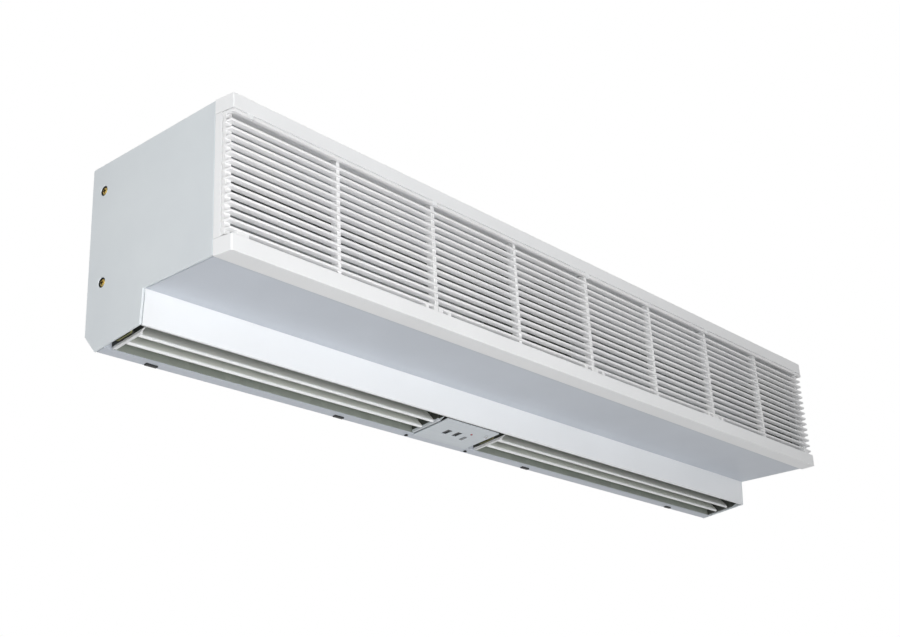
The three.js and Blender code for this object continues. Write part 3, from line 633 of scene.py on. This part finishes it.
def swept(outer, inner, section, level):
    """Sweeps a section of (share of the way inwards, height) between two paths in plan."""
    shape = bmesh.new()
    rows = []
    for (x0, y0), (x1, y1) in zip(outer, inner):
        row = [(x0 + (x1 - x0) * s, y0 + (y1 - y0) * s, level + z) for s, z in section]
        rows.append([shape.verts.new([v * MM for v in point]) for point in row])
    for first, second in zip(rows, rows[1:]):
        skin(shape, first, second)
    for row in (rows[0], rows[-1]):
        shape.faces.new(row)
    bmesh.ops.remove_doubles(shape, verts=shape.verts, dist=0.001 * MM)
    return shape


def block(shape, across, deep, high):
    """A square bar, joined into a shape."""
    (y0, y1), (z0, z1) = deep, high
    return extruded([(y0, z0), (y1, z0), (y1, z1), (y0, z1)], *across, shape)


def panel_paths(start, wraps, front_y, rear_y):
    """The outer and the inner path of a louvre, in plan, for the panel that starts at an X."""
    if not wraps:
        end = start + PANEL_W - 2 * SEAM
        return [(start, front_y), (end, front_y)], [(start, rear_y), (end, rear_y)]
    corner, rear = frame_x(front_y), frame_x(PANEL_REAR_Y)
    outer = [(start, front_y), (corner - 1.6, front_y), (corner - 0.5, front_y + 0.4)]
    outer += [(corner - 0.05, front_y + 1.6), (rear, PANEL_REAR_Y)]
    turn = (corner - 8.5, rear_y)
    return outer, [(start, rear_y), turn, turn, turn, (rear - 8.5, PANEL_REAR_Y)]


def top_bar(start, wraps):
    paths = panel_paths(start, wraps, FRAME_FRONT_Y, TOP_BAR_REAR_Y)
    bar = swept(*paths, TOP_BAR_SECTION, HINGE_Z)
    pockets = bmesh.new()
    bores = bmesh.new()
    for x in HINGE_LUGS:
        if start - LUG_REACH < x < start + PANEL_W + LUG_REACH:
            (left, right), deep, high = LUG_POCKET
            block(pockets, (x + left, x + right), deep, high)
            r, half = PIN_BORE_R, PIN_BORE_HALF
            bore = turned([(0, -half), (r, -half), (r, half), (0, half)], 20)
            join_into(bores, placed(bore, along((1, 0, 0), (x, HINGE_Y, HINGE_Z))))
    return carved(carved(bar, pockets), bores)


def louvre_panel(number):
    wraps = number in (1, 4)
    place = 4 if wraps else number  # the left end panel is the right one, mirrored
    start = -HALF_LENGTH + (place - 1) * PANEL_W + SEAM
    end = frame_x(LOUVRE_FRONT_Y) if wraps else start + PANEL_W - 2 * SEAM
    shape = top_bar(start, wraps)
    paths = panel_paths(start, wraps, LOUVRE_FRONT_Y, LOUVRE_REAR_Y)
    for k in range(LOUVRES):
        join_into(shape, swept(*paths, LOUVRE_SECTION, FIRST_LOUVRE_Z + k * PITCH))
    deep = (LOUVRE_FRONT_Y + RIB_SET_BACK, PANEL_REAR_Y)
    high = (PANEL_BOTTOM_Z, PANEL_TOP_Z - 0.4)
    ribs = [(start, RIB), (start + (PANEL_W - MIDDLE_RIB) / 2, MIDDLE_RIB)]
    if wraps:
        rear = frame_x(PANEL_REAR_Y)
        inner, outer, depth = CORNER_BAR
        block(shape, (rear - inner, rear - outer), (PANEL_REAR_Y - depth, PANEL_REAR_Y), high)
    else:
        ribs.append((end - RIB, RIB))
    for x, width in ribs:
        block(shape, (x, x + width), deep, high)
    tabs = [(start + a, start + b) for a, b in RELEASE_TABS]
    if wraps:
        tabs.append((end - CORNER_TAB[0], end - CORNER_TAB[1]))
    else:
        tabs += [(end - b, end - a) for a, b in RELEASE_TABS]
    for span in tabs:
        block(shape, span, (LOUVRE_FRONT_Y + 0.2, LOUVRE_REAR_Y), (PANEL_BOTTOM_Z, FIRST_LOUVRE_Z))
    for face in shape.faces:
        face.material_index = 0
    if number == 1:
        bmesh.ops.transform(shape, matrix=Matrix.Scale(-1, 4, (1, 0, 0)), verts=shape.verts)
    node, body = f"intake_grille_{number}", f"grille_{number}"
    return make(f"louvred_{node}", shape, (louvre_abs,), body, (node,))


for number in range(1, 5):
    louvre_panel(number)
print("four panels with", LOUVRES, "louvres each,", PITCH, "mm apart")

# %% [markdown]
# ** Screws.** Each one is a turned blank with a cross recess, which is a tapered plus shape cut
# out of the head with a boolean. The recess faces are drawn black: painted shade. The end screws
# are yellow zinc in cup washers whose black is painted shade for the screw holes, the sill screws
# black and the plate screw bright zinc. The terminal block's four clamp screws are the smallest.

# %% Screws
CONTROL_TILT = -math.atan(OUTLET_SLOPE)
CONTROL_PLACE = Vector((-81.2, -59.2, (SILL_Y + 59.2) * OUTLET_SLOPE - 0.6 + CASE_Z))
CONTROLS = Matrix.Translation(CONTROL_PLACE * MM) @ Matrix.Rotation(CONTROL_TILT, 4, "X")
END_SCREW_SEAT = 596.4
END_SCREWS = {"upper": (-20.5, 63), "lower": (-24.8, -45)}
SILL_SCREWS = {"left": -138.6, "right": -23.4}
SILL_SCREW_Y = -24
TERMINALS = (-104, -90, -76, -62)
CUP_WASHER = ((4.7, 0.1), (5.5, 0.1), (5.5, 2.7), (5.2, 2.9), (4.7, 2.7), (4.7, 0.1))


def cross_recess(reach, width, top, depth):
    """A plus shape that narrows downwards from the head's top."""
    a, b = width / 2, reach
    plus = [(a, a), (b, a), (b, -a), (a, -a), (a, -b), (-a, -b)]
    plus += [(-x, -y) for x, y in plus]
    shape = bmesh.new()
    rows = []
    for height, share in ((top + 1, 1.15), (top - depth, 0.45)):
        row = [(x * share * MM, y * share * MM, height * MM) for x, y in plus]
        rows.append([shape.verts.new(point) for point in row])
    skin(shape, *rows)
    for row in rows:
        shape.faces.new(row)
    return shape


def screw_shape(head, shank):
    """A domed head of (radius, height) on a shank of (radius, length), seated at zero."""
    head_r, head_h = head
    shank_r, length = shank
    profile = [(0, -length), (shank_r - 0.4, -length), (shank_r, 0.4 - length)]
    profile += [(shank_r, 0), (head_r, 0)]
    for k in range(7):
        turn = math.pi / 2 * k / 6
        profile.append((head_r * math.cos(turn), head_h * (0.4 + 0.6 * math.sin(turn))))
    profile[-1] = (0, head_h)
    reach = 0.66 * head_r
    shape = carved(turned(profile, 36), cross_recess(reach, 0.34 * head_r, head_h, 0.8 * head_h))
    # The faces inside the cross recess take the second finish, black: painted shade.
    for face in shape.faces:
        centre = face.calc_center_median() / MM
        inside = centre.xy.length < reach and centre.z > 0
        dome = head_h * (0.4 + 0.6 * math.sqrt(max(0, 1 - (centre.xy.length / head_r) ** 2)))
        face.material_index = int(inside and centre.z < dome - 0.1 * head_h)
    return shape


def screw(name, node, finish, head, shank, matrix):
    shape = screw_shape(head, shank)
    bmesh.ops.transform(shape, matrix=matrix, verts=shape.verts)
    return make(name, shape, (finish, black_steel_and_shade), "casing", (node,) if node else ())


for side, way in (("left", -1), ("right", 1)):
    for level, (y, z) in END_SCREWS.items():
        matrix = along((way, 0, 0), (way * END_SCREW_SEAT, y, z))
        node = f"end_screw_{side}_{level}"
        screw(f"pan_{node}", node, yellow_zinc, (4.6, 3.1), (2, 6), matrix)
        # The cup washer's black is painted shade, for the shade in the screw hole round the head.
        cup = placed(turned(CUP_WASHER, 40), matrix)
        make(f"cup_washer_{side}_{level}", cup, (black_steel_and_shade,), "casing", ())
for side, x in SILL_SCREWS.items():
    seat_z = (SILL_Y - SILL_SCREW_Y) * OUTLET_SLOPE - 0.4 + CASE_Z
    matrix = along((0, 0, -1), (x, SILL_SCREW_Y, seat_z))
    node = f"sill_screw_{side}"
    screw(f"pan_{node}", node, black_steel_and_shade, (2.7, 0.9), (1.5, 7), matrix)
matrix = CONTROLS @ along((0, 0, -1), (42.2, -14.2, -0.3))
screw("pan_plate_screw", "plate_screw", bright_zinc, (3, 1), (1.7, 9.3), matrix)
for number, x in enumerate(TERMINALS, 1):
    matrix = along((0, -1, 0), (x, -15, -40))
    screw(f"terminal_screw_{number}", None, bright_zinc, (3.2, 1.6), (1.6, 6), matrix)
print("screws:", 2 * len(END_SCREWS) + len(SILL_SCREWS) + 1 + len(TERMINALS))

# %% [markdown]
# **Fan wheels.** A cross-flow wheel is a drum of many thin curved blades, pressed from sheet and
# riveted between discs. The construction solid has 16 stout blades. Here the wheel is drawn with
# its real 36 thin ones, on the same radii and the same curve.

# %% Fan wheels
AXIS_Y = -112
AXIS_Z = 8
WHEEL_R = 52
ROOT_R = 40
TIP_R = 50.6
BLADES = 36
BLADE_T = 0.9
DISC_T = 2.2


def blade_outline(turn):
    """A blade's section at an angle round the wheel: an arc that bends forward to its tip."""
    sides = []
    for across in (-BLADE_T / 2, BLADE_T / 2):
        row = []
        for k in range(7):
            r = ROOT_R + (TIP_R - ROOT_R) * k / 6
            angle = turn + 0.3 * (k / 6) ** 2 + across / r
            row.append((AXIS_Y + r * math.cos(angle), AXIS_Z + r * math.sin(angle)))
        sides.append(row)
    return sides[0] + sides[1][::-1]


def wheel(side, start, end, motor_way, rings):
    shape = bmesh.new()
    for k in range(BLADES):
        extruded(blade_outline(2 * math.pi * k / BLADES), start + 1, end - 1, shape)
    driven, far = (end, start) if motor_way > 0 else (start, end)
    band = [(ROOT_R - 2, 0), (WHEEL_R - 0.3, 0), (WHEEL_R, 0.3), (WHEEL_R, DISC_T - 0.3)]
    band += [(WHEEL_R - 0.3, DISC_T), (ROOT_R - 2, DISC_T), (ROOT_R - 2, 0)]
    for k in range(1, rings + 1):
        x = start + (end - start - DISC_T) * k / (rings + 1)
        join_into(shape, placed(turned(band, 72), along((1, 0, 0), (x, AXIS_Y, AXIS_Z))))
    boss = [(0, 24), (14.5, 24), (15, 23.5), (15, DISC_T + 1), (16, DISC_T), (WHEEL_R, DISC_T)]
    boss += [(WHEEL_R, 0), (15, 0), (6.8, 0), (6.5, 0.3), (6.5, 18), (0, 18)]
    inwards = along((-motor_way, 0, 0), (driven, AXIS_Y, AXIS_Z))
    join_into(shape, placed(turned(boss, 72), inwards))
    stub = [(0, DISC_T), (WHEEL_R, DISC_T), (WHEEL_R, 0), (9, 0), (8, -1), (4, -1), (4, -8), (3.6, -8.4)]
    stub += [(0, -8.4)]
    inwards = along((motor_way, 0, 0), (far, AXIS_Y, AXIS_Z))
    join_into(shape, placed(turned(stub, 72), inwards))
    node = f"fan_wheel_{side}"
    return make(f"bladed_{node}", shape, (fan_metal,), "fan_rotor", (node,))


wheel("left", -581, -139.3, 1, 1)
wheel("right", -10, 583, -1, 2)
print("two wheels of", BLADES, "blades")

# %% [markdown]
# **The drive.** The motor's shell is two drawn end caps on a stack of thin steel laminations, held
# by four through bolts. Its shaft runs out at both ends into the wheels. At the unit's two ends,
# the wheels' stubs run in bearings that sit in rubber rings.

# %% Motor, shaft and bearings
MOTOR_START = -120
MOTOR_END = -30
STACK_R = 46
LAMINATION_MM = 2.0  # real ones are 0.5 mm; drawn coarser, so that they show
BOLT_CIRCLE = 39.5


def fan_axis(x):
    return along((1, 0, 0), (x, AXIS_Y, AXIS_Z))


def motor_shape():
    a, b = MOTOR_START, MOTOR_END
    cap = [(6.3, a - 6), (16, a - 6), (17, a - 5), (17, a + 1.5), (18, a + 2.2), (32, a + 4.6)]
    cap += [(36, a + 6), (41, a + 10), (43, a + 14), (43, a + 20)]
    stack = []
    layers = int((b - a - 40) / LAMINATION_MM)
    for k in range(layers):
        x = a + 20 + k * LAMINATION_MM
        stack += [(STACK_R, x), (STACK_R, x + LAMINATION_MM - 0.5)]
        stack += [(STACK_R - 0.5, x + LAMINATION_MM - 0.4), (STACK_R - 0.5, x + LAMINATION_MM)]
    back = [(r, a + b - x) for r, x in reversed(cap)]
    shape = turned(cap + stack + back + [cap[0]], 72)
    for face in shape.faces:
        centre = face.calc_center_median()
        in_stack = a + 20.2 < centre.z / MM < b - 20.2 and centre.xy.length > 44 * MM
        face.material_index = int(in_stack)
    bmesh.ops.transform(shape, matrix=fan_axis(0), verts=shape.verts)
    return shape


def motor():
    shape = motor_shape()
    for k in range(4):
        turn = math.pi / 4 + math.pi / 2 * k
        y = AXIS_Y + BOLT_CIRCLE * math.cos(turn)
        z = AXIS_Z + BOLT_CIRCLE * math.sin(turn)
        for x, way in ((MOTOR_START + 10, -1), (MOTOR_END - 10, 1)):
            nut = turned([(0, -1), (3.2, -1), (3.2, 2.4), (2.6, 3), (1.6, 3), (1.6, 5), (0, 5)], 6)
            join_into(shape, placed(nut, along((way, 0, 0), (x, y, z)), 2))
    finishes = (motor_enamel, galvanised, bright_zinc)
    return make("fan_motor", shape, finishes, "casing", ("motor",))


motor()
rod = [(0, -155), (5.6, -155), (6, -154.6), (6, 4.6), (5.6, 5), (0, 5)]
shaft = placed(turned(rod, 40), fan_axis(0))
make("drive_shaft", shaft, (bright_zinc,), "fan_rotor", ("motor_shaft",))
for side, x in (("left", -587.25), ("right", 589.25)):
    ring_profile = [(4.3, -4), (6.4, -4), (6.6, -3.6), (9, -3.9), (12, -1.5)]
    ring_profile += [(12.5, -1.2), (9.6, -1.2)]
    ring_profile += [(r, -h) for r, h in reversed(ring_profile)] + [(4.3, -4)]
    shape = turned(ring_profile, 48)
    for face in shape.faces:
        face.material_index = int(face.calc_center_median().xy.length < 6.4 * MM)
    bmesh.ops.transform(shape, matrix=fan_axis(x), verts=shape.verts)
    node = f"bearing_{side}"
    make(f"rubber_{node}", shape, (rubber, bright_zinc), "casing", (node,))
print("motor with", int((MOTOR_END - MOTOR_START - 40) / LAMINATION_MM), "laminations drawn")

# %% [markdown]
# **The motor bay.** The run capacitor is a drawn aluminium can with a rolled groove and two flat
# tabs. The mains cable comes in through a rubber grommet with a rounded lip on each side of the
# sheet.

# %% Capacitor and grommet
def capacitor():
    can = [(0, -108), (14.5, -108), (16.6, -107.4), (17.5, -106), (17.5, -59), (16.4, -58), (16.4, -57)]
    can += [(17.5, -56), (17.5, -51.6), (16.8, -50.5), (15.6, -50.5), (15.4, -51.4), (6, -51.4)]
    can += [(6, -50), (0, -50)]
    shape = placed(turned(can, 56), along((1, 0, 0), (0, -32, 30)))
    for y in (-36, -28.8):
        tab = extruded([(y, 27.5), (y + 0.8, 27.5), (y + 0.8, 32.5), (y, 32.5)], -50.2, -47)
        join_into(shape, placed(tab, Matrix.Identity(4), 1))
    return make("run_capacitor", shape, (can_metal, bright_zinc), "casing", ("capacitor",))


def grommet():
    lip = [(8.5, -7.4), (9.2, -8), (12.4, -8), (13.6, -7.4), (14, -6), (13.4, -5.4), (11.6, -5.4)]
    lip += [(11.6, -3.1), (13.6, -3.1), (14, -2.9), (13.2, -2.6), (9, -2.6), (8.5, -3.1), (8.5, -7.4)]
    shape = turned([(r, y) for r, y in lip], 56)
    bmesh.ops.transform(shape, matrix=along((0, 1, 0), (-75, 0, 66)), verts=shape.verts)
    return make("entry_grommet", shape, (rubber,), "casing", ("cable_grommet",))


capacitor()
grommet()
print("capacitor and grommet")

# %% [markdown]
# **Switches and lamp.** A rocker is a polished nylon key with two dished halves. It is drawn as an
# outline across the key, with a bevel for its soft edges, and stands tipped to one side. The lamp
# is a small clear dome.

# %% Rockers and pilot lamp
ROCKER_TIP = math.radians(8)
ROCKER_PIVOT_Z = 3
ROCKERS = {"power": (-17.7, 1.3), "speed": (0.7, 0.5)}
DISH_MM = 0.25
KEY_EDGE_MM = 0.45


def rocker_outline():
    rise = 6 * math.tan(ROCKER_TIP)
    face = []
    for k in range(13):
        y = -6 + k
        dish = DISH_MM * math.sin(math.pi * abs(y) / 6)
        face.append((y, -1.4 - rise * abs(y) / 6 + dish))
    return face + [(6, 3), (2.5, 7), (-2.5, 7), (-6, 3)]


def rocker(use, x, y):
    shape = extruded(rocker_outline(), -4, 4)
    seat = Matrix.Translation(Vector((x, y, ROCKER_PIVOT_Z)) * MM)
    placed(shape, CONTROLS @ seat @ Matrix.Rotation(ROCKER_TIP, 4, "X"))
    node = f"{use}_rocker"
    key = make(f"dished_{node}", shape, (switch_nylon,), f"{use}_switch", (node,))
    edge = key.modifiers.new("soft_edges", "BEVEL")
    edge.width = KEY_EDGE_MM * MM
    edge.segments = 3
    edge.limit_method = "ANGLE"
    edge.angle_limit = math.radians(40)
    return key


for use, (x, y) in ROCKERS.items():
    rocker(use, x, y)
dome = [(0, -0.9), (0.6, -0.82), (1.1, -0.55), (1.4, -0.1), (1.5, 0.4), (1.5, 1.6), (0, 1.6)]
bulb = placed(turned(dome, 32), CONTROLS @ Matrix.Translation(Vector((18.6, -9.6, 0)) * MM))
make("lamp_dome", bulb, (lamp_red,), "casing", ("pilot_lamp",))
print("two rockers and a lamp")

# %% [markdown]
# The studio is a pale floor far below and a white surround. The light comes from low on the left
# and falls off along the unit, as in the picture. The main soft lamp stands in front and low, and
# a small one with a grid, which narrows its beam, near the camera. One from below lights the
# outlet, a weak one the left end, one behind the back and one above the top. The surround and
# the floor look pale to the camera and in reflections, and light the object only gently.

# %% Floor
FLOOR_Z = -4.2  # low enough for a look at the outlet from straight below
FLOOR_HALF_M = 20
FLOOR_PALENESS = 0.62  # the floor looks paler than its light would make it


def plain_floor():
    mesh = bpy.data.meshes.new("floor")
    shape = bmesh.new()
    bmesh.ops.create_grid(shape, x_segments=1, y_segments=1, size=FLOOR_HALF_M)
    shape.to_mesh(mesh)
    shape.free()
    made = bpy.data.objects.new("floor", mesh)
    made.location.z = FLOOR_Z
    bpy.context.scene.collection.objects.link(made)
    paint, tree, shader, place = start("floor_paint", 0.8)
    mottle(tree, place, shader, "#eeeeee", "#f2f2f2", 400)
    shown = add(tree, "MapRange", Value=seen_directly(tree), To_Min=0.0, To_Max=FLOOR_PALENESS)
    tree.links.new(shown.outputs["Result"], shader.inputs["Emission Strength"])
    shader.inputs["Emission Color"].default_value = srgb("#ffffff")
    mesh.materials.append(paint)
    return made


floor = plain_floor()
print("floor at", FLOOR_Z, "m")

# %% Surround
AMBIENT = 0.22


def surround():
    world = bpy.data.worlds.new("surround")
    bpy.context.scene.world = world
    world.use_nodes = True
    tree = world.node_tree
    tree.nodes.clear()
    strength = add(tree, "MapRange", Value=seen_directly(tree), To_Min=AMBIENT, To_Max=1.0)
    light = add(tree, "Background", Color=srgb("#ffffff"), Strength=strength.outputs["Result"])
    add(tree, "OutputWorld", Surface=light.outputs["Background"])


surround()
print("ambient", AMBIENT)

# %% Lamps
def soft_lamp(name, place, target, size, watts, tint="#ffffff", spread_deg=180):
    light = bpy.data.lights.new(name, "AREA")
    light.shape = "RECTANGLE"
    light.size = size[0]
    light.size_y = size[1]
    light.energy = watts
    light.spread = math.radians(spread_deg)
    light.color = srgb(tint)[:3]
    made = bpy.data.objects.new(name, light)
    made.location = place
    made.rotation_euler = (Vector(target) - Vector(place)).to_track_quat("-Z", "Y").to_euler()
    bpy.context.scene.collection.objects.link(made)
    return made


AIM = (-0.2, -0.15, -0.02)
soft_lamp("front_lamp", (-0.6, -1.6, -0.75), AIM, (0.9, 0.9), 13.6)
soft_lamp("near_lamp", (-1.0, -1.3, -0.7), (-0.45, -0.15, -0.02), (0.8, 0.8), 2.0, spread_deg=110)
soft_lamp("outlet_lamp", (0.4, -0.3, -1.4), AIM, (1.0, 1.0), 1.2)
soft_lamp("left_lamp", (-1.6, -0.3, 0.0), AIM, (0.7, 0.7), 5.4)
soft_lamp("back_lamp", (1.2, 2.6, 1.4), AIM, (2.0, 2.0), 40)
soft_lamp("top_lamp", (0.0, 0.2, 2.2), (0.0, -0.1, 0.0), (1.5, 1.5), 10)
print("six soft lamps")
